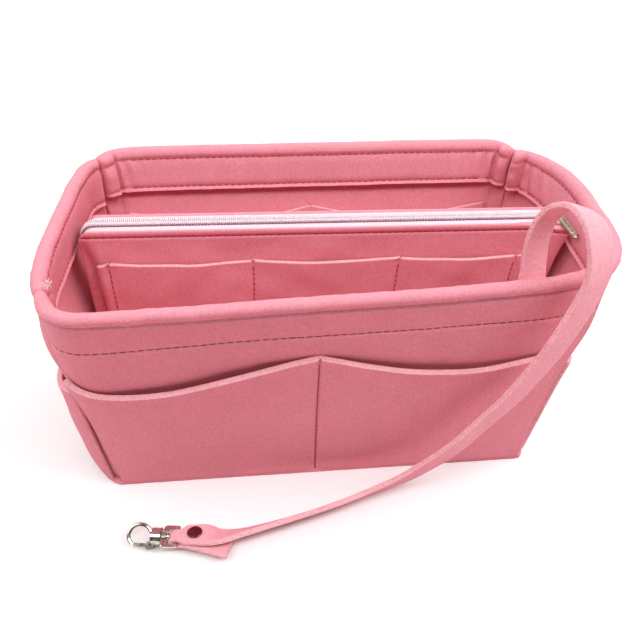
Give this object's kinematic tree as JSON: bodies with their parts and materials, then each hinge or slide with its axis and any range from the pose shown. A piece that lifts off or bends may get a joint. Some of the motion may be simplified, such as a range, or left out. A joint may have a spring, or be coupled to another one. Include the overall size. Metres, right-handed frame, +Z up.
{
  "type": "purse organizer insert",
  "caption": "Open felt tub with outer and inner pockets, a zipped felt pouch standing in it and a felt key strap with a swivel snap hook",
  "frame": {"origin": "middle of the underside of the base, where the tub stands", "axes": "+X to the right along the long side, +Y from the front wall to the back wall, +Z up"},
  "size_m": [0.3028, 0.2004, 0.199],
  "materials": {
    "felt": "pressed pink felt, matte and fuzzy",
    "strap_felt": "pressed pink felt cut into a strap",
    "zip_tape": "pale pink woven tape",
    "zip_coil": "nylon coil, slightly glossy",
    "nickel": "polished pale nickel",
    "rivet": "dark polished plating"
  },
  "bodies": {
    "tub": {"front_wall": "felt", "back_wall": "felt", "left_wall": "felt", "right_wall": "felt", "base_panel": "felt", "front_pocket_panel": "felt", "left_pocket_panel": "felt", "right_pocket_panel": "felt", "inner_pocket_panel": "felt", "key_strap": "strap_felt", "rivet_cap": "rivet", "rivet_base": "rivet", "swivel_eye": "nickel"},
    "pouch": {"pouch_front_panel": "felt", "pouch_back_panel": "felt", "pouch_gusset": "felt", "pouch_pocket_panel": "felt", "zip_tape_front": "zip_tape", "zip_tape_back": "zip_tape", "zip_coil_front": "zip_coil", "zip_coil_back": "zip_coil"},
    "slider": {"zip_slider": "nickel"},
    "pull": {"zip_pull": "nickel"},
    "hook": {"hook_body": "nickel", "gate_pin": "nickel", "gate_spring": "nickel"},
    "gate": {"hook_gate": "nickel"}
  },
  "joints": [
    {"name": "pouch_lift", "type": "slide", "parent": "tub", "child": "pouch", "axis": [0, 0, 1], "range_m": [0, 0.16]},
    {"name": "zip_run", "type": "slide", "parent": "pouch", "child": "slider", "axis": [-0.9997, 0.0262, 0], "range_m": [0, 0.255]},
    {"name": "pull_swing", "type": "hinge", "parent": "slider", "child": "pull", "pos_m": [0.13604, 0.00444, 0.1525], "axis": [-0.9997, 0.0262, 0], "range_deg": [0, 185]},
    {"name": "hook_swivel", "type": "hinge", "parent": "tub", "child": "hook", "pos_m": [-0.0895, -0.1013, 0.0063], "axis": [-0.9917, 0.1289, 0], "continuous": true},
    {"name": "gate_open", "type": "hinge", "parent": "hook", "child": "gate", "pos_m": [-0.10479, -0.10336, 0.00348], "axis": [0.074, 0.5696, -0.8186], "range_deg": [0, 25], "stiffness_Nm_per_rad": 0.004, "springref_deg": -28.65}
  ]
}
